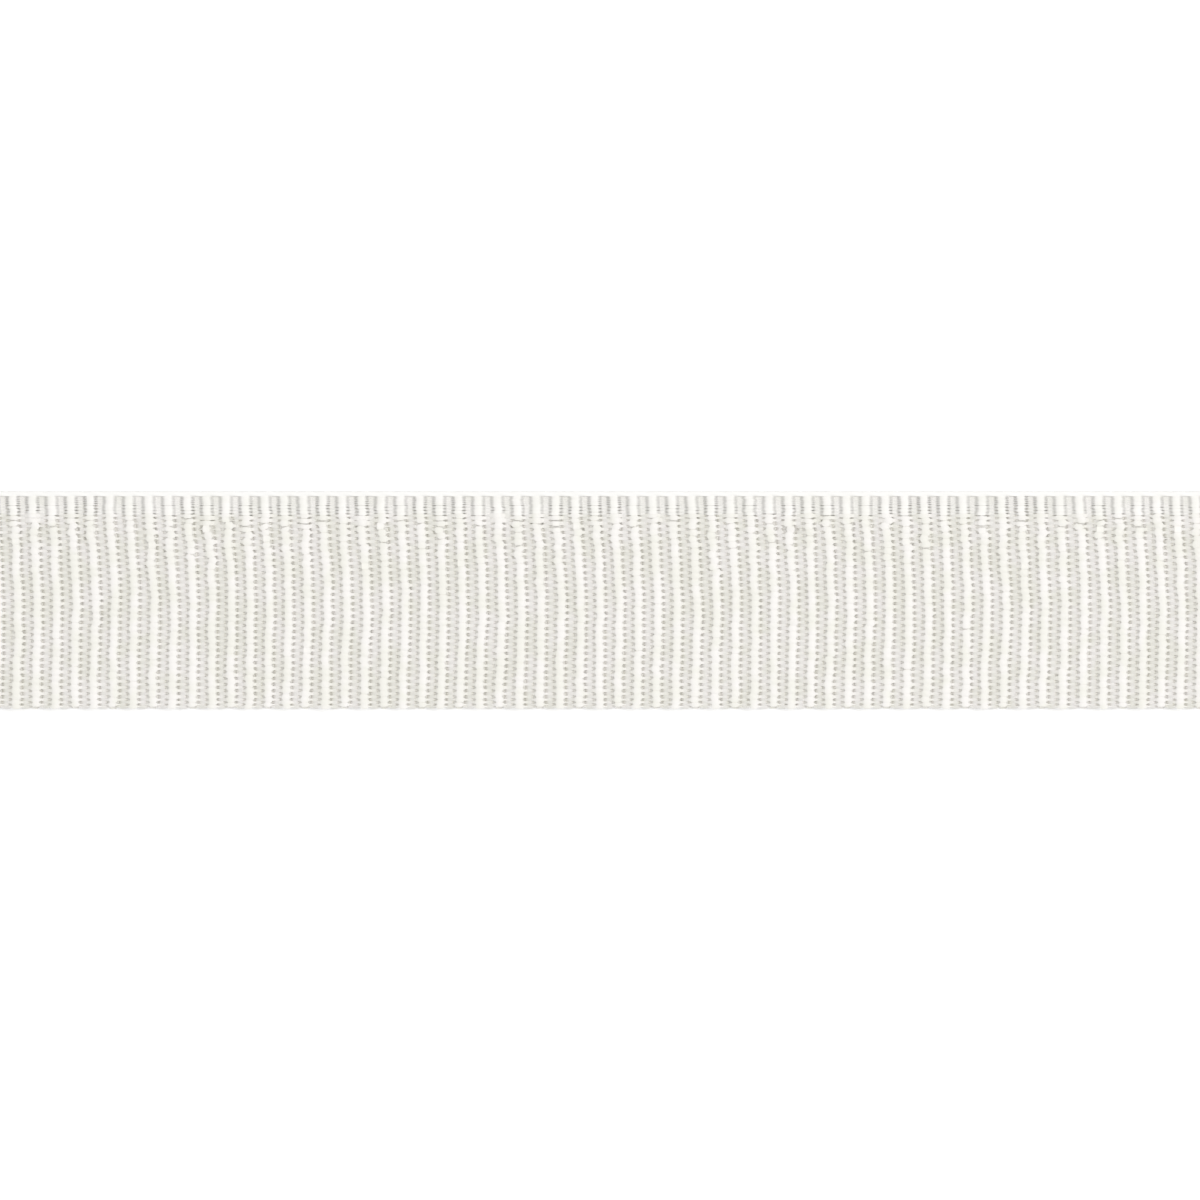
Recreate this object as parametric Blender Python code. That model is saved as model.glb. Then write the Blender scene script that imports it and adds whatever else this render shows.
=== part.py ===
"""A cut length of heavy faille ribbon, lying flat and face up.

Metres, +Z up. The length runs along X and the width along Y, with the smooth selvedge at +Y.
The origin is under the middle of the ribbon, on the surface that it lies on.

The ribbon is warp-faced: thick weft cords run across it, and the ends that close over each cord raise
a rib on both faces. The ribs bow a little along the ribbon, and are as uneven as in a real length.
"""

import math

import bmesh
import bpy

MM = 0.001

# Size of the ribbon
WIDTH = 16.0 * MM
RIB_COUNT = 70
RIB_PITCH = 1.42 * MM
THICKNESS = 1.10 * MM
RIB_HEIGHT = 0.25 * MM

# Shape of one rib, as shares of the pitch on each side of its middle
CREST_HALF = 0.14
FOOT_HALF = 0.36

# Strips across the width, from the smooth selvedge to the other one:
# share of the width, how far the ribs drift along the ribbon there, share of the full thickness
STATIONS = (
    # width share, drift, thickness share
    (0.000, 0.00 * MM, 0.62),
    (0.025, 0.00 * MM, 1.00),
    (0.130, 0.05 * MM, 1.00),
    (0.320, 0.26 * MM, 1.00),
    (0.520, 0.40 * MM, 1.00),
    (0.760, 0.29 * MM, 1.00),
    (0.975, 0.24 * MM, 1.00),
    (1.000, 0.24 * MM, 0.62),
)

# Slow unevenness of the ribs: height of the wave, its length along the ribbon, and its start
WANDERS = (
    # drift, wavelength, phase in radians
    (0.110 * MM, 37.0 * MM, 0.6),
    (0.065 * MM, 13.5 * MM, 2.1),
)

IVORY = (0.83, 0.80, 0.73, 1.0)
YARN_ROUGHNESS = 0.62


def clear_scene():
    """Take out everything that the file already holds."""
    for item in list(bpy.data.objects):
        bpy.data.objects.remove(item, do_unlink=True)


def yarn_material():
    """Ivory yarn, matt to silky."""
    material = bpy.data.materials.new("ivory_yarn")
    material.use_nodes = True
    shader = material.node_tree.nodes["Principled BSDF"]
    shader.inputs["Base Color"].default_value = IVORY
    shader.inputs["Roughness"].default_value = YARN_ROUGHNESS
    shader.inputs["Metallic"].default_value = 0.0
    return material


def rib_outline():
    """Points (x, height above the middle plane) of the face along the whole ribbon, end to end."""
    crest = THICKNESS / 2
    trough = crest - RIB_HEIGHT
    start = -RIB_COUNT * RIB_PITCH / 2
    points = []
    for rib in range(RIB_COUNT):
        middle = start + (rib + 0.5) * RIB_PITCH
        points.append((middle - FOOT_HALF * RIB_PITCH, trough))
        points.append((middle - CREST_HALF * RIB_PITCH, crest))
        points.append((middle + CREST_HALF * RIB_PITCH, crest))
        points.append((middle + FOOT_HALF * RIB_PITCH, trough))
    return points


def wander(x, width_share):
    """Slow drift of the ribs along the ribbon, which grows from the smooth selvedge down."""
    drift = 0.0
    for height, wavelength, phase in WANDERS:
        drift += height * math.sin(2 * math.pi * x / wavelength + phase)
    return drift * width_share


def first_section(mesh):
    """The ribbon's long section as one upright face: ribs above, and the same ribs below."""
    face_side = rib_outline()
    back_side = [(x, -height) for x, height in reversed(face_side)]
    corners = [mesh.verts.new((x, 0.0, height)) for x, height in face_side + back_side]
    return mesh.faces.new(corners)


def carry_across(mesh, section):
    """Extrude the section strip by strip across the width, with no wall left inside."""
    stations = [list(section.verts)]
    for strip in range(1, len(STATIONS)):
        grown = bmesh.ops.extrude_face_region(mesh, geom=[section])["geom"]
        if strip > 1:
            bmesh.ops.delete(mesh, geom=[section], context="FACES_ONLY")
        section = next(item for item in grown if isinstance(item, bmesh.types.BMFace))
        stations.append(list(section.verts))
    return stations


def place_stations(stations):
    """Give each station its place across the width, its drift and its thickness."""
    for (width_share, drift, thickness_share), points in zip(STATIONS, stations):
        for point in points:
            x = point.co.x
            point.co.x = x + drift + wander(x, width_share)
            point.co.y = (0.5 - width_share) * WIDTH
            point.co.z = point.co.z * thickness_share


def stand_on_surface(mesh):
    """Move the ribbon so that the middle of its underside is the origin."""
    along = [point.co.x for point in mesh.verts]
    lowest = min(point.co.z for point in mesh.verts)
    middle = (min(along) + max(along)) / 2
    bmesh.ops.translate(mesh, verts=mesh.verts, vec=(-middle, 0.0, -lowest))


def build_ribbon():
    """The woven strip, one closed solid."""
    mesh = bmesh.new()
    stations = carry_across(mesh, first_section(mesh))
    place_stations(stations)
    stand_on_surface(mesh)
    bmesh.ops.recalc_face_normals(mesh, faces=mesh.faces)
    data = bpy.data.meshes.new("ribbon")
    mesh.to_mesh(data)
    mesh.free()
    data.materials.append(yarn_material())
    ribbon = bpy.data.objects.new("ribbon", data)
    bpy.context.scene.collection.objects.link(ribbon)
    return ribbon


clear_scene()
build_ribbon()
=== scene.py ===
"""Looks of a cut length of heavy ivory faille ribbon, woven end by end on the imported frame.

Metres, +Z up. The length runs along X and the width along Y, with the smooth selvedge at +Y.
Thick weft cords lie across the ribbon. Two sets of warp ends close over them in turn: a set floats
over one rib, dives between the cords, and passes under the next rib while the other set floats there.
Three twisted cords close the smooth selvedge, the weft turns back round the other one, and loose
filaments stand out of both cut ends.

A place along the ribbon is counted in ribs: the middle of rib 3 is at 3.0, and the groove after it
at 3.5. A share of the width or a depth is counted in from the smooth selvedge.
"""

import itertools
import math

import bmesh
import bpy
import numpy as np
from mathutils import Matrix, Vector


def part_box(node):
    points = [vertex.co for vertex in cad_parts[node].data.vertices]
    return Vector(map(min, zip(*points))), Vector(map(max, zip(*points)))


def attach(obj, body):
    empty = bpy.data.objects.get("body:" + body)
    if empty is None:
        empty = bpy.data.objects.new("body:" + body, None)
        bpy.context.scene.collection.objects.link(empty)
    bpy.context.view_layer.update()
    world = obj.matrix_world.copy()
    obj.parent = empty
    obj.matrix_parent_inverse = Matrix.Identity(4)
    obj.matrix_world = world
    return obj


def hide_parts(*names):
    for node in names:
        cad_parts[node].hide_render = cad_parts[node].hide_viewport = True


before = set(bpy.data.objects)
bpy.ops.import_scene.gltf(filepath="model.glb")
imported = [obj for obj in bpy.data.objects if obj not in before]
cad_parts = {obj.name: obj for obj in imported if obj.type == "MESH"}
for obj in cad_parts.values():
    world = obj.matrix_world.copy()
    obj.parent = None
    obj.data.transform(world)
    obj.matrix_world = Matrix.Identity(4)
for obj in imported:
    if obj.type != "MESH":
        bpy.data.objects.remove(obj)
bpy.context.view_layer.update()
LOW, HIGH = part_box("ribbon")

MM = 0.001
FULL_TURN = 2 * math.pi

# Ribbon, as in the part's source: the first rib's foot is in ribs from the ribbon's end
WIDTH = HIGH.y - LOW.y
THICKNESS = HIGH.z - LOW.z
MIDDLE_HEIGHT = (HIGH.z + LOW.z) / 2
RIB_COUNT = 70
RIB_PITCH = 1.42 * MM
FIRST_FOOT = 0.14

# How far the ribs drift along the ribbon, from the smooth selvedge to the other one
DRIFTS = (
    # width share, drift
    (0.000, 0.00 * MM),
    (0.025, 0.00 * MM),
    (0.130, 0.05 * MM),
    (0.320, 0.26 * MM),
    (0.520, 0.40 * MM),
    (0.760, 0.29 * MM),
    (0.975, 0.24 * MM),
    (1.000, 0.24 * MM),
)
WANDERS = (
    # drift, wavelength, phase in radians
    (0.110 * MM, 37.0 * MM, 0.6),
    (0.065 * MM, 13.5 * MM, 2.1),
)

# Shares of the width to either side over which the drift is averaged, so that no rib has a kink
DRIFT_NUDGES = (-0.06, -0.03, 0.0, 0.03, 0.06)

# Each rib's own unevenness, which sets in over a strip beside the smooth selvedge
WOBBLE_SEED = 11
WOBBLES = (
    # drift, waves in the width
    (0.028 * MM, 1.7),
    (0.020 * MM, 4.3),
    (0.012 * MM, 9.5),
)
WOBBLE_FADE = (0.03, 0.12)

# Warp ends, from the smooth selvedge down, after the room that its cords take
EDGE_ROOM = 0.24 * MM
BODY_PITCH = 0.2272 * MM
END_ROWS = (
    # piece, pitch between neighbouring ends, how many, closed shoulders, parted floats, unevenness
    ("edge_ends", 0.077 * MM, 7, 1.00, 0.00, 0.6),
    ("edge_ends", 0.077 * MM, 3, 0.95, 0.00, 0.6),
    ("edge_ends", 0.117 * MM, 6, 0.72, 0.00, 1.0),
    ("upper_ends", 0.168 * MM, 2, 0.35, 0.10, 1.6),
    ("upper_ends", 0.205 * MM, 2, 0.10, 0.38, 2.4),
    ("upper_ends", BODY_PITCH, 2, 0.00, 0.48, 2.4),
    ("upper_ends", BODY_PITCH, 6, 0.00, 0.06, 2.0),
    ("upper_ends", BODY_PITCH, 6, 0.00, 0.05, 1.5),
    ("middle_ends", BODY_PITCH, 14, 0.00, 0.02, 1.0),
    ("lower_ends", BODY_PITCH, 14, 0.00, 0.01, 1.0),
    ("foot_ends", BODY_PITCH, 14, 0.00, 0.01, 1.0),
    ("foot_ends", 0.190 * MM, 2, 0.00, 0.00, 1.0),
    ("foot_ends", 0.145 * MM, 2, 0.00, 0.00, 1.0),
)

# How far the ends stand out past the first and the last groove where they are cut, in ribs
CUT_STUB = 0.30
CUT_UNEVENNESS = 0.12

# One warp end: a tube of flat sides, pressed towards a box where its flatness is over 2
END_SIDES = 8
FLATNESS = 3.4
FLOAT_SHAPE = (
    # off the rib's middle in ribs, share of the full rise, half thickness, half width in pitches
    (0.00, 1.00, 0.072 * MM, 1.30),
    (0.13, 0.965, 0.072 * MM, 1.22),
    (0.19, 0.81, 0.088 * MM, 0.66),
    (0.26, 0.52, 0.130 * MM, 0.50),
    (0.345, 0.18, 0.200 * MM, 0.75),
    (0.50, 0.00, 0.250 * MM, 0.86),
)

# Stretches off the rib's middle, each as its start and its length in ribs: where a float's own
# unevenness fades, where its shoulder starts and ends, and where its shift along the ribbon fades
FLOAT_FADE = (0.10, 0.20)
SHOULDER_START = (0.13, 0.06)
SHOULDER_END = (0.34, 0.10)
JITTER_FADE = (0.28, 0.18)

# Extra width of the shoulders, on the left of each rib and on the right
SHOULDER_LEANS = (0.04, -0.08)

# Half width that closed shoulders reach, in pitches, and how much thinner crowded floats may get
CLOSED_WIDTH = 1.15
CROWDED_THINNING = 0.45

# Parted floats: share of the width that they keep, and how far they shift and slant, in pitches
PARTED_WIDTH = 0.84
PARTED_SHIFT = 0.15
PARTED_SLANT = 1.2

# Spread from float to float: of the width, the height, the sideways place and slant in pitches,
# how far the shoulders close, their width, and the place along the ribbon in ribs
WARP_SEED = 5
SWELL_SPREAD = 0.03
LIFT_SPREAD = 0.007 * MM
SWAY_SPREAD = 0.055
SLANT_SPREAD = 0.10
CLOSING_SPREAD = 0.28
SHOULDER_SPREAD = 0.10
JITTER_SPREAD = 0.018

# Soft rise of the grooves to the cords of the smooth selvedge, and where along a rib it sets in
FILLET_HEIGHT = 0.26 * MM
FILLET_WIDTH = 0.21 * MM
FILLET_FADE = (0.19, 0.25)

# Twisted cords that tie in the weft along the smooth selvedge
EDGE_CORD_ROWS = (
    # depth, height off the middle plane, radius, start of the twist in radians
    (0.207 * MM, 0.352 * MM, 0.190 * MM, 0.0),
    (0.192 * MM, 0.000 * MM, 0.174 * MM, 1.1),
    (0.207 * MM, -0.352 * MM, 0.190 * MM, 2.3),
)
EDGE_CORD_TWIST = 0.10
EDGE_CORD_STEPS = 8
EDGE_CORD_OVERHANG = 0.30

# Turns of the weft round the other selvedge, one in each groove: an arc from one rib to the next,
# which starts above the middle plane, ends below it and runs on a little past the half circle
TURN_RADIUS = 0.135 * MM
TURN_START = 0.42 * MM
TURN_REACH = 0.24 * MM
TURN_HALF_SPAN = 0.43
TURN_LEAN = 0.11 * MM
TURN_OVERRUN = 0.05
TURN_STEPS = 12

# Loose filaments at the cut ends: so many to a warp end, spread over most of its pitch
FRAY_SEED = 23
FRAY_COUNT = 4
FRAY_RADIUS = 0.013 * MM
FRAY_TAPER = 0.5
FRAY_LENGTHS = (0.15 * MM, 0.75 * MM)
FRAY_SPREAD = 0.45
FRAY_HEIGHT = 0.20 * MM
FRAY_CURL = 0.18 * MM
FRAY_STEPS = 5
FRAY_SIDES = 3

# Weft cords, a little to the left of each rib's middle, with stations counted in ribs off it
CORD_HALF_WIDTH = 0.42 * MM
CORD_SHIFT = -0.06 * MM
CORD_HALF_HEIGHT = 0.33 * MM
WEB_HALF_THICKNESS = 0.03 * MM
WEFT_MARGIN = 0.30 * MM
CORD_STATIONS = (-0.35, -0.31, -0.25, -0.15, -0.05, 0.05, 0.15, 0.21, 0.25)
CORD_STRIPS = 28

# Meshes: points nearer than this are welded, and faces that meet at more than this show an edge
WELD_DISTANCE = 0.0005 * MM
SHARP_ANGLE = math.radians(40)

# How far each yarn's map starts from the last one's: ribs along it, turns round it
YARN_MAP_STEP = (3.7, 0.37)

# Painted shade in the yarn colour, by height off the middle plane: darker low down and on the flanks,
# and lightest at the very crests as a painted highlight. In the body the low parts lie deep between
# the floats; beside the smooth selvedge the flanks of the closed bars get the darkest painted shade
BODY_PAINTED_SHADES = (
    # share of the half thickness, share of the full colour
    (0.00, 0.84),
    (0.30, 0.85),
    (0.46, 0.870),
    (0.54, 0.950),
    (0.70, 0.980),
    (0.94, 0.970),
    (1.00, 1.00),
)
EDGE_PAINTED_SHADES = (
    # share of the half thickness, share of the full colour
    (0.00, 0.84),
    (0.30, 0.88),
    (0.44, 0.90),
    (0.56, 0.77),
    (0.67, 0.74),
    (0.77, 0.84),
    (0.84, 0.90),
    (0.92, 1.00),
    (1.00, 1.00),
)

# Faint patches of colour: in the body, beside the smooth selvedge and in its cords, whose colours are
# also painted lighter as a painted highlight along the rim
YARN_TINTS = (
    # place in the patches, colour
    (0.39, (0.926, 0.911, 0.846, 1.0)),
    (0.50, (0.948, 0.928, 0.880, 1.0)),
    (0.61, (0.970, 0.945, 0.914, 1.0)),
)
EDGE_TINTS = (
    # place in the patches, colour
    (0.38, (0.945, 0.932, 0.885, 1.0)),
    (0.62, (0.975, 0.955, 0.925, 1.0)),
)
RIM_TINTS_AND_PAINTED_LIGHT = (
    # place in the patches, colour
    (0.30, (0.975, 0.965, 0.935, 1.0)),
    (0.70, (0.990, 0.980, 0.960, 1.0)),
)

# Yarn finish: the filaments' scale is cells in a rib's length and in a turn, the patches' per metre
YARN_COLOR = (0.935, 0.91, 0.86, 1.0)
YARN_ROUGHNESS = 0.55
FILAMENT_SCALE = (1.2, 34.0, 1.0)
FILAMENT_RELIEF = 0.015 * MM
PATCH_SCALE = 620.0

# Weft finish: its colours painted darker than the warp's, as painted shade in the pits between the
# floats;
# the strands' scale is cells per metre, so they are long across the ribbon
WEFT_SHADED_COLOR = (0.82, 0.805, 0.77, 1.0)
WEFT_SHADED_LOW_COLOR = (0.78, 0.765, 0.73, 1.0)
WEFT_SHADED_HIGH_COLOR = (0.86, 0.845, 0.81, 1.0)
WEFT_ROUGHNESS = 0.8
STRAND_SCALE = (9000.0, 900.0, 9000.0)
STRAND_RELIEF = 0.02 * MM

# White surface and white room
FLOOR_SIZE = 3.0
FLOOR_GAP = 0.05 * MM
FLOOR_COLOR = (0.93, 0.93, 0.93, 1.0)
FLOOR_ROUGHNESS = 0.9
FLOOR_GLOW = 0.15
WHITE = (1.0, 1.0, 1.0, 1.0)
ROOM_LIGHT = 0.58

# Square soft boxes, which face the ribbon's middle
LIGHT_TARGET = (0.0, 0.0, 0.0)
SOFT_BOXES = (
    # name, place, side, watts
    ("right_box", (0.5, 0.1, 1.2), 0.6, 5.8),
    ("top_box", (0.0, 0.0, 1.6), 1.2, 4.7),
)

# Photograph's frame: pixels, with the crest taken at a share of the width
PHOTO_SIDE = 1200
RIB_PIXELS = 19.394
RIBBON_MIDDLE_PIXEL = 600.3
CREST_NEAR_MIDDLE_PIXEL = 594.3
CREST_SHARE = 0.02

# Camera, with its sensor in millimetres
CAMERA_DISTANCE = 1.0
CLIP_RANGE = (0.05, 10.0)
SENSOR = 36.0


# Shape of the ribbon

def smooth_step(value):
    """0 to 1 with a soft start and end."""
    value = np.clip(value, 0.0, 1.0)
    return value * value * (3 - 2 * value)


def fade_in(value, start, length):
    """0 up to the start, 1 from a length past it, and a soft rise between them."""
    return smooth_step((value - start) / length)


def rib_drift(share):
    """Bow of the ribs: how far along the ribbon they stand at a share of its width."""
    shares = np.array([row[0] for row in DRIFTS])
    drifts = np.array([row[1] for row in DRIFTS])
    softened = 0.0
    for nudge in DRIFT_NUDGES:
        softened = softened + np.interp(share + nudge, shares, drifts) / len(DRIFT_NUDGES)
    return softened


def slow_wander(x, share):
    """Slow drift of the ribs along the ribbon, which grows from the smooth selvedge down."""
    drift = 0.0
    for height, wavelength, phase in WANDERS:
        drift = drift + height * np.sin(FULL_TURN * x / wavelength + phase)
    return drift * share


def solid_shift():
    """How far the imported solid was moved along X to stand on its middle."""
    start = (FIRST_FOOT - RIB_COUNT / 2) * RIB_PITCH
    lowest = min(start + drift + slow_wander(start, share) for share, drift in DRIFTS)
    return LOW.x - lowest


SHIFT = solid_shift()
wobble_draws = np.random.default_rng(WOBBLE_SEED)
WOBBLE_PHASES = wobble_draws.uniform(0, FULL_TURN, (len(WOBBLES), RIB_COUNT + 2))


def rib_wobble(place, share):
    """Each rib's own unevenness, shared out between the two nearest ribs."""
    place = np.clip(place, -0.5, RIB_COUNT - 0.5)
    rib = np.floor(place).astype(int)
    blend = place - rib
    drift = 0.0
    for row, (height, waves) in enumerate(WOBBLES):
        here = np.sin(FULL_TURN * waves * share + WOBBLE_PHASES[row, rib + 1])
        there = np.sin(FULL_TURN * waves * share + WOBBLE_PHASES[row, rib + 2])
        drift = drift + height * (here * (1 - blend) + there * blend)
    return drift * fade_in(share, *WOBBLE_FADE)


def along(place, share):
    """X of a place counted in ribs, at a share of the width."""
    x = (place + 0.5 - RIB_COUNT / 2) * RIB_PITCH
    return x + rib_drift(share) + slow_wander(x, share) + rib_wobble(place, share) + SHIFT


def across(depth):
    """Y of a point that is this far in from the smooth selvedge."""
    return HIGH.y - depth


# Materials

def new_material(name, color, roughness):
    """A material with its fixed values on the shader's own sockets, and its parts to build on."""
    material = bpy.data.materials.new(name)
    material.use_nodes = True
    tree = material.node_tree
    shader = tree.nodes["Principled BSDF"]
    shader.inputs["Base Color"].default_value = color
    shader.inputs["Roughness"].default_value = roughness
    return material, tree.nodes, tree.links, shader


def add_node(nodes, kind, **values):
    """A shader node with some of its inputs or settings filled in."""
    node = nodes.new(kind)
    for key, value in values.items():
        if hasattr(node, key):
            setattr(node, key, value)
        else:
            node.inputs[key].default_value = value
    return node


def painted_depth_shade(nodes, links, color, painted_shades):
    """The colour with painted shade: darker low between the ribs on either face, full on their
    crests.
    """
    place = add_node(nodes, "ShaderNodeTexCoord")
    parts = add_node(nodes, "ShaderNodeSeparateXYZ")
    height = add_node(nodes, "ShaderNodeMath", operation="SUBTRACT")
    height.inputs[1].default_value = MIDDLE_HEIGHT
    size = add_node(nodes, "ShaderNodeMath", operation="ABSOLUTE")
    share = add_node(nodes, "ShaderNodeMath", operation="DIVIDE")
    share.inputs[1].default_value = THICKNESS / 2
    shade = add_node(nodes, "ShaderNodeFloatCurve")
    points = shade.mapping.curves[0].points
    points[0].location = painted_shades[0]
    points[1].location = painted_shades[-1]
    for place_and_shade in painted_shades[1:-1]:
        points.new(*place_and_shade)
    shade.mapping.update()
    scale = add_node(nodes, "ShaderNodeVectorMath", operation="SCALE")
    links.new(place.outputs["Object"], parts.inputs["Vector"])
    links.new(parts.outputs["Z"], height.inputs[0])
    links.new(height.outputs["Value"], size.inputs[0])
    links.new(size.outputs["Value"], share.inputs[0])
    links.new(share.outputs["Value"], shade.inputs["Value"])
    links.new(color, scale.inputs[0])
    links.new(shade.outputs["Value"], scale.inputs["Scale"])
    return scale.outputs["Vector"]


def yarn_material(name, painted_shades, tints):
    """Ivory yarn: fine filaments along the end, faint warm and cool patches, painted shade by height,
    a soft silky sheen.
    """
    material, nodes, links, shader = new_material(name, YARN_COLOR, YARN_ROUGHNESS)
    shader.inputs["Sheen Weight"].default_value = 0.15
    shader.inputs["Sheen Roughness"].default_value = 0.4
    shader.inputs["Specular IOR Level"].default_value = 0.35
    yarn_map = add_node(nodes, "ShaderNodeUVMap", uv_map="yarn")
    stretch = add_node(nodes, "ShaderNodeMapping", Scale=FILAMENT_SCALE)
    filaments = add_node(nodes, "ShaderNodeTexNoise", Scale=1.0, Detail=3.0, Roughness=0.6)
    bump = add_node(nodes, "ShaderNodeBump", Strength=0.6, Distance=FILAMENT_RELIEF)
    place = add_node(nodes, "ShaderNodeTexCoord")
    patches = add_node(nodes, "ShaderNodeTexNoise", Scale=PATCH_SCALE, Detail=2.0, Roughness=0.5)
    tint = add_node(nodes, "ShaderNodeValToRGB")
    for place_in_ramp, color in tints:
        element = tint.color_ramp.elements.new(place_in_ramp)
        element.color = color
    tint.color_ramp.elements.remove(tint.color_ramp.elements[0])
    tint.color_ramp.elements.remove(tint.color_ramp.elements[-1])
    links.new(yarn_map.outputs["UV"], stretch.inputs["Vector"])
    links.new(stretch.outputs["Vector"], filaments.inputs["Vector"])
    links.new(filaments.outputs["Fac"], bump.inputs["Height"])
    links.new(bump.outputs["Normal"], shader.inputs["Normal"])
    links.new(place.outputs["Object"], patches.inputs["Vector"])
    links.new(patches.outputs["Fac"], tint.inputs["Fac"])
    # Painted shade: the patches' colour darkened by height off the middle plane
    shaded = painted_depth_shade(nodes, links, tint.outputs["Color"], painted_shades)
    links.new(shaded, shader.inputs["Base Color"])
    return material


def weft_material():
    """Matte core of the ribs: loosely twisted cords, seen only between the floats and at the edges,
    painted darker as shade in the pits.
    """
    material, nodes, links, shader = new_material("weft_cord", WEFT_SHADED_COLOR, WEFT_ROUGHNESS)
    place = add_node(nodes, "ShaderNodeTexCoord")
    stretch = add_node(nodes, "ShaderNodeMapping", Scale=STRAND_SCALE)
    strands = add_node(nodes, "ShaderNodeTexNoise", Scale=1.0, Detail=2.0, Roughness=0.6)
    bump = add_node(nodes, "ShaderNodeBump", Strength=0.5, Distance=STRAND_RELIEF)
    tint = add_node(nodes, "ShaderNodeValToRGB")
    # Strand tones, both painted darker than the warp as painted shade in the pits
    tint.color_ramp.elements[0].color = WEFT_SHADED_LOW_COLOR
    tint.color_ramp.elements[1].color = WEFT_SHADED_HIGH_COLOR
    links.new(place.outputs["Object"], stretch.inputs["Vector"])
    links.new(stretch.outputs["Vector"], strands.inputs["Vector"])
    links.new(strands.outputs["Fac"], bump.inputs["Height"])
    links.new(strands.outputs["Fac"], tint.inputs["Fac"])
    links.new(bump.outputs["Normal"], shader.inputs["Normal"])
    links.new(tint.outputs["Color"], shader.inputs["Base Color"])
    return material


# Copies of one yarn: the body's and the edge's each with their own painted shade by height
YARN = yarn_material("ivory_yarn", BODY_PAINTED_SHADES, YARN_TINTS)
EDGE_YARN_PAINTED_SHADE = yarn_material("edge_yarn_painted_shade", EDGE_PAINTED_SHADES, EDGE_TINTS)
# Copy of the yarn for the rim cords, painted lighter as a painted highlight
RIM_YARN_PAINTED_LIGHT = yarn_material("rim_yarn_painted_light", BODY_PAINTED_SHADES, RIM_TINTS_AND_PAINTED_LIGHT)
WEFT = weft_material()


# Weaving

def stack_of_grids(name, count, steps, sides):
    """One flat grid for each yarn, stacked so that a point's height is its yarn's number."""
    work = bmesh.new()
    work.loops.layers.uv.new("yarn")
    for number in range(count):
        bmesh.ops.create_grid(
            work,
            x_segments=steps,
            y_segments=sides,
            size=0.5,
            matrix=Matrix.Translation((0, 0, number)),
            calc_uvs=True,
        )
    data = bpy.data.meshes.new(name)
    work.to_mesh(data)
    work.free()
    return data


def read_points(data):
    """The mesh's points as three rows: x, y and z."""
    values = np.empty(len(data.vertices) * 3)
    data.vertices.foreach_get("co", values)
    return values.reshape(-1, 3).T


def write_points(data, x, y, z):
    """Put the mesh's points at these places."""
    values = np.stack((x, y, z), axis=1).ravel()
    data.vertices.foreach_set("co", values)
    data.update()


def spread_map(data):
    """Yarn map: ribs along the yarn, turns round it, and a start of its own for each yarn."""
    layer = data.uv_layers["yarn"].data
    values = np.empty(len(layer) * 2)
    layer.foreach_get("uv", values)
    corners = np.empty(len(data.loops), dtype=int)
    data.loops.foreach_get("vertex_index", corners)
    number = np.round(read_points(data)[2][corners])
    values[0::2] = values[0::2] * RIB_COUNT + number * YARN_MAP_STEP[0]
    values[1::2] = values[1::2] + number * YARN_MAP_STEP[1]
    layer.foreach_set("uv", values)


def rolled_tubes(name, count, steps, sides):
    """Flat grids for some tubes, with each point's tube, share of the length and angle round it."""
    data = stack_of_grids(name, count, steps, sides)
    spread_map(data)
    grid_x, grid_y, grid_z = read_points(data)
    number = np.round(grid_z).astype(int)
    return data, number, grid_x + 0.5, FULL_TURN * (grid_y + 0.5)


def close_tubes(data):
    """Weld each rolled grid's seam, cap its ends and face it outwards."""
    work = bmesh.new()
    work.from_mesh(data)
    bmesh.ops.remove_doubles(work, verts=work.verts, dist=WELD_DISTANCE)
    rims = [edge for edge in work.edges if edge.is_boundary]
    bmesh.ops.holes_fill(work, edges=rims, sides=END_SIDES + 2)
    bmesh.ops.recalc_face_normals(work, faces=work.faces)
    work.to_mesh(data)
    work.free()
    data.update()


def put_in_scene(name, data):
    """A new object, linked to the scene's own collection."""
    item = bpy.data.objects.new(name, data)
    bpy.context.scene.collection.objects.link(item)
    return item


def add_piece(data, material):
    """Link a finished mesh as a piece that rides with the ribbon."""
    data.materials.append(material)
    data.shade_smooth()
    data.set_sharp_from_angle(angle=SHARP_ANGLE)
    piece = put_in_scene(data.name, data)
    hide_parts("ribbon")
    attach(piece, "root")
    return piece


def list_ends():
    """Every warp end: its piece, depth in from the smooth selvedge, and its row's other values."""
    ends = []
    depth = EDGE_ROOM
    for piece, pitch, count, closed, parted, uneven in END_ROWS:
        for _ in range(count):
            ends.append((piece, depth + pitch / 2, pitch, closed, parted, uneven))
            depth += pitch
    return ends


def list_places():
    """Places of the stations of one end, in ribs, with a stub past the last cord at both ends."""
    offsets = [row[0] for row in FLOAT_SHAPE[1:-1]]
    places = [-0.5 - CUT_STUB, -0.5]
    for rib in range(RIB_COUNT):
        places.extend(rib - offset for offset in reversed(offsets))
        places.extend(rib + offset for offset in offsets)
        places.append(rib + 0.5)
    places.append(RIB_COUNT - 0.5 + CUT_STUB)
    return np.array(places)


def end_path(places, parity):
    """Rise above the middle plane, tilt, half thickness and half width of an end at its stations."""
    shape = np.array(FLOAT_SHAPE)
    rib = np.clip(np.round(places), 0, RIB_COUNT - 1)
    off = np.abs(places - rib)
    over = np.where((rib + parity) % 2 == 0, 1.0, -1.0)
    rise = over * np.interp(off, shape[:, 0], shape[:, 1]) * (THICKNESS / 2 - FLOAT_SHAPE[0][2])
    tilt = np.arctan(np.gradient(rise, places * RIB_PITCH))
    half_thick = np.interp(off, shape[:, 0], shape[:, 2])
    half_wide = np.interp(off, shape[:, 0], shape[:, 3])
    return rise, tilt, half_thick, half_wide


def squared(wave):
    """A round turn pressed towards a box, so that neighbouring floats lie flush."""
    return np.sign(wave) * np.abs(wave) ** (2 / FLATNESS)


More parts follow.
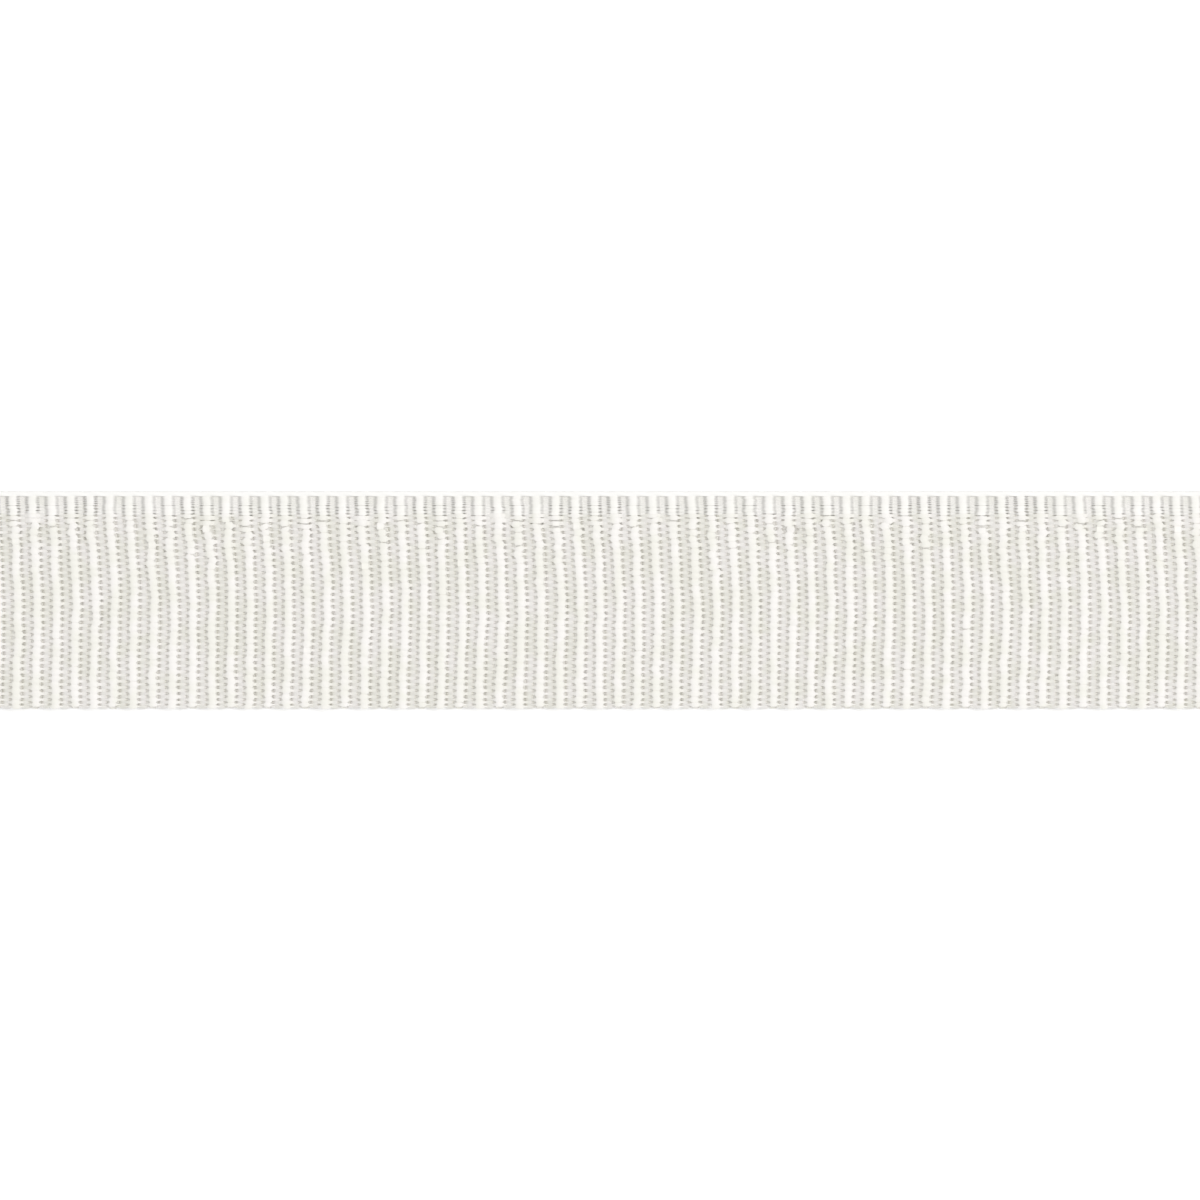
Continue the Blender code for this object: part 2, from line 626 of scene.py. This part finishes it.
def draw_floats(closed, parted_share, uneven, draws):
    """Measures of every float, as tables with a row for each end and a column for each rib."""
    size = (len(closed), RIB_COUNT)
    parted = draws.random(size) < parted_share
    swell = (1 + uneven * draws.normal(0.0, SWELL_SPREAD, size)) * np.where(parted, PARTED_WIDTH, 1.0)
    lift = uneven * draws.normal(0.0, LIFT_SPREAD, size)
    sway = uneven * draws.normal(0.0, SWAY_SPREAD, size) + np.where(parted, PARTED_SHIFT, 0.0)
    slant = draws.normal(0.0, SLANT_SPREAD, size)
    slant = slant + np.where(parted, PARTED_SLANT, 0.0) * draws.normal(0.0, 1.0, size)
    closing = draws.normal(0.0, CLOSING_SPREAD, (1, RIB_COUNT)) * (closed > 0)
    closed = np.clip(closed + closing, 0, 1)
    fullness = uneven * draws.normal(0.0, SHOULDER_SPREAD, size)
    jitter = uneven * draws.normal(0.0, JITTER_SPREAD, size)
    return swell, lift, sway, slant, closed, fullness, jitter


def weave_ends(name, ends, first_number, draws):
    """Neighbouring warp ends as tubes that float, dive and pass under, rib by rib."""
    places = list_places()
    steps = len(places) - 1
    data, number, length_share, angle = rolled_tubes(name, len(ends), steps, END_SIDES)
    station = np.round(length_share * steps).astype(int)
    depths, pitches, closed, parted_share, uneven = np.array([row[1:] for row in ends]).T
    depth = depths[number]
    pitch = pitches[number]

    cut = draws.uniform(-CUT_UNEVENNESS, CUT_UNEVENNESS, (2, len(ends)))
    place = places[station]
    place = place + np.where(station == 0, cut[0, number], 0)
    place = place + np.where(station == steps, cut[1, number], 0)
    rib = np.clip(np.round(place), 0, RIB_COUNT - 1).astype(int)
    off = place - rib
    distance = np.abs(off)
    paths = np.array([end_path(places, parity) for parity in (0, 1)])
    rise, tilt, half_thick, half_wide = paths[(number + first_number) % 2, :, station].T

    tables = draw_floats(closed[:, None], parted_share[:, None], uneven[:, None], draws)
    swell, lift, sway, slant, closed, fullness, jitter = [table[number, rib] for table in tables]
    window = 1 - fade_in(distance, *FLOAT_FADE)
    shoulder = fade_in(distance, *SHOULDER_START) * (1 - fade_in(distance, *SHOULDER_END))
    half_wide = half_wide * (1 + (np.where(off < 0, *SHOULDER_LEANS) + fullness) * shoulder)
    half_wide = half_wide + closed * np.clip(CLOSED_WIDTH - half_wide, 0, None)
    thinner = 1 - CROWDED_THINNING * (1 - np.minimum(1.0, pitch / BODY_PITCH))
    half_thick = half_thick * (1 + (thinner - 1) * window)
    fillet = FILLET_HEIGHT * (1 - fade_in(depth, EDGE_ROOM, FILLET_WIDTH))
    half_thick = half_thick + fillet * fade_in(distance, *FILLET_FADE)
    side = half_wide * pitch * (1 + (swell - 1) * window) * squared(np.cos(angle))
    up = half_thick * squared(np.sin(angle))

    depth = depth + pitch * (sway + slant * off) * window
    place = place + jitter * (1 - fade_in(distance, *JITTER_FADE))
    x = along(place, np.clip(depth / WIDTH, 0, 1)) - up * np.sin(tilt)
    y = across(depth) + side
    z = MIDDLE_HEIGHT + rise + lift * window + up * np.cos(tilt)
    write_points(data, x, y, z)
    close_tubes(data)
    # The ends beside the smooth selvedge take the yarn with the edge's painted shade on their flanks
    return add_piece(data, EDGE_YARN_PAINTED_SHADE if name == "edge_ends" else YARN)


def weave_warp():
    """All the warp ends, a piece for each part of the width."""
    draws = np.random.default_rng(WARP_SEED)
    woven = []
    first_number = 0
    for name, group in itertools.groupby(list_ends(), key=lambda row: row[0]):
        ends = list(group)
        woven.append(weave_ends(name, ends, first_number, draws))
        first_number += len(ends)
    return woven


def lay_weft():
    """The weft cords and the thin webs between them, as one ribbed sheet inside the warp."""
    places = [-0.5]
    for rib in range(RIB_COUNT):
        places.extend(rib + station for station in CORD_STATIONS)
        places.append(rib + 0.5)
    places = np.array(places)
    work = bmesh.new()
    work.loops.layers.uv.new("yarn")
    bmesh.ops.create_grid(
        work, x_segments=len(places) - 1, y_segments=CORD_STRIPS, size=0.5, calc_uvs=True
    )
    grown = bmesh.ops.extrude_face_region(work, geom=work.faces[:])["geom"]
    top = [item for item in grown if isinstance(item, bmesh.types.BMVert)]
    bmesh.ops.translate(work, verts=top, vec=(0, 0, 1))
    data = bpy.data.meshes.new("weft_cords")
    work.to_mesh(data)
    work.free()

    grid_x, grid_y, grid_z = read_points(data)
    place = places[np.round((grid_x + 0.5) * (len(places) - 1)).astype(int)]
    off = (place - np.round(place)) * RIB_PITCH - CORD_SHIFT
    depth = WEFT_MARGIN + (0.5 - grid_y) * (WIDTH - 2 * WEFT_MARGIN)
    bulge = np.sqrt(np.clip(1 - (off / CORD_HALF_WIDTH) ** 2, 0, 1)) * CORD_HALF_HEIGHT
    thick = np.maximum(bulge, WEB_HALF_THICKNESS)
    face = np.where(grid_z > 0.5, 1.0, -1.0)
    write_points(data, along(place, depth / WIDTH), across(depth), MIDDLE_HEIGHT + face * thick)

    work = bmesh.new()
    work.from_mesh(data)
    bmesh.ops.recalc_face_normals(work, faces=work.faces)
    work.to_mesh(data)
    work.free()
    return add_piece(data, WEFT)


def lay_edge_cords():
    """Three twisted cords, one over the other, that close the grooves along the smooth selvedge."""
    steps = RIB_COUNT * EDGE_CORD_STEPS
    data, number, share, angle = rolled_tubes("edge_cords", len(EDGE_CORD_ROWS), steps, END_SIDES)
    depth, height, radius, start = np.array(EDGE_CORD_ROWS)[number].T
    place = -0.5 - EDGE_CORD_OVERHANG + share * (RIB_COUNT + 2 * EDGE_CORD_OVERHANG)
    radius = radius * (1 + EDGE_CORD_TWIST * np.cos(2 * angle - FULL_TURN * place + start))
    x = along(place, np.zeros_like(place))
    y = across(depth) + radius * squared(np.cos(angle))
    z = MIDDLE_HEIGHT + height + radius * squared(np.sin(angle))
    write_points(data, x, y, z)
    close_tubes(data)
    # The cords take the rim yarn, painted lighter as a painted highlight
    return add_piece(data, RIM_YARN_PAINTED_LIGHT)


def turn_weft():
    """The weft's turns from each rib to the next, round the outermost warp end."""
    data, number, share, angle = rolled_tubes("weft_turns", RIB_COUNT - 1, TURN_STEPS, END_SIDES)
    swing = math.pi * (share * (1 + 2 * TURN_OVERRUN) - TURN_OVERRUN)
    place = number + 0.5 - TURN_HALF_SPAN * np.cos(swing)
    depth = WIDTH - TURN_START + TURN_REACH * np.sin(swing)
    run = TURN_HALF_SPAN * RIB_PITCH * np.sin(swing)
    fall = -TURN_REACH * np.cos(swing)
    size = np.hypot(run, fall)
    out = TURN_RADIUS * np.cos(angle)
    x = along(place, np.clip(depth / WIDTH, 0, 1)) - out * fall / size
    y = across(depth) - out * run / size
    z = MIDDLE_HEIGHT + TURN_LEAN * np.cos(swing) + TURN_RADIUS * np.sin(angle)
    write_points(data, x, y, z)
    close_tubes(data)
    return add_piece(data, YARN)


def fray_cut_ends():
    """Short loose filaments that stand out of the warp ends where the ribbon is cut."""
    draws = np.random.default_rng(FRAY_SEED)
    ends = list_ends()
    count = 2 * len(ends) * FRAY_COUNT
    data, number, share, angle = rolled_tubes("cut_filaments", count, FRAY_STEPS, FRAY_SIDES)
    end = np.arange(count) % len(ends)
    side = np.where(np.arange(count) < count / 2, -1.0, 1.0)
    middle = np.array([row[1] for row in ends])[end]
    pitch = np.array([row[2] for row in ends])[end]
    depth = middle + draws.uniform(-FRAY_SPREAD, FRAY_SPREAD, count) * pitch
    height = draws.uniform(-FRAY_HEIGHT, FRAY_HEIGHT, count)
    length = draws.uniform(*FRAY_LENGTHS, count)
    curl = draws.normal(0.0, FRAY_CURL, (2, count))
    shortest_stub = CUT_STUB - CUT_UNEVENNESS
    root = np.where(side < 0, -0.5 - shortest_stub, RIB_COUNT - 0.5 + shortest_stub)
    bend = share ** 2 * length[number] / FRAY_LENGTHS[1]
    radius = FRAY_RADIUS * (1 - FRAY_TAPER * share)
    x = along(root[number], depth[number] / WIDTH) + side[number] * share * length[number]
    y = across(depth[number]) + bend * curl[0, number] + radius * np.cos(angle)
    z = MIDDLE_HEIGHT + height[number] + bend * curl[1, number] + radius * np.sin(angle)
    write_points(data, x, y, z)
    close_tubes(data)
    return add_piece(data, YARN)


# Studio

def lay_floor():
    """Plain white surface under the ribbon."""
    work = bmesh.new()
    bmesh.ops.create_grid(work, x_segments=1, y_segments=1, size=FLOOR_SIZE)
    data = bpy.data.meshes.new("floor")
    work.to_mesh(data)
    work.free()
    material, _, _, shader = new_material("white_floor", FLOOR_COLOR, FLOOR_ROUGHNESS)
    shader.inputs["Emission Color"].default_value = WHITE
    shader.inputs["Emission Strength"].default_value = FLOOR_GLOW
    data.materials.append(material)
    floor = put_in_scene("floor", data)
    floor.location.z = LOW.z - FLOOR_GAP


def add_soft_box(name, place, side, watts):
    """A square soft box that faces the ribbon's middle."""
    data = bpy.data.lights.new(name, "AREA")
    data.shape = "SQUARE"
    data.size = side
    data.energy = watts
    light = put_in_scene(name, data)
    light.location = place
    aim = Vector(LIGHT_TARGET) - Vector(place)
    light.rotation_euler = aim.to_track_quat("-Z", "Y").to_euler()


def light_studio():
    """Soft light from the right, a wide one overhead and a white room."""
    world = bpy.data.worlds.new("white_room")
    world.use_nodes = True
    background = world.node_tree.nodes["Background"]
    background.inputs["Color"].default_value = WHITE
    background.inputs["Strength"].default_value = ROOM_LIGHT
    bpy.context.scene.world = world
    for soft_box in SOFT_BOXES:
        add_soft_box(*soft_box)


def place_camera():
    """A long lens straight above the ribbon, its length level in the picture."""
    pixel = RIB_PITCH / RIB_PIXELS
    frame_width = PHOTO_SIDE * pixel
    data = bpy.data.cameras.new("camera")
    data.sensor_width = SENSOR
    data.lens = SENSOR * CAMERA_DISTANCE / frame_width
    data.clip_start, data.clip_end = CLIP_RANGE
    camera = put_in_scene("camera", data)
    crest = float(along(RIB_COUNT / 2, CREST_SHARE))
    x = crest + (PHOTO_SIDE / 2 - CREST_NEAR_MIDDLE_PIXEL) * pixel
    y = (HIGH.y + LOW.y) / 2 + (RIBBON_MIDDLE_PIXEL - PHOTO_SIDE / 2) * pixel
    camera.location = (x, y, HIGH.z + CAMERA_DISTANCE)
    bpy.context.scene.camera = camera


place_camera()
light_studio()
lay_floor()
weft = lay_weft()
warp = weave_warp()
trimmings = [lay_edge_cords(), turn_weft(), fray_cut_ends()]
bpy.context.scene.view_settings.view_transform = "Standard"
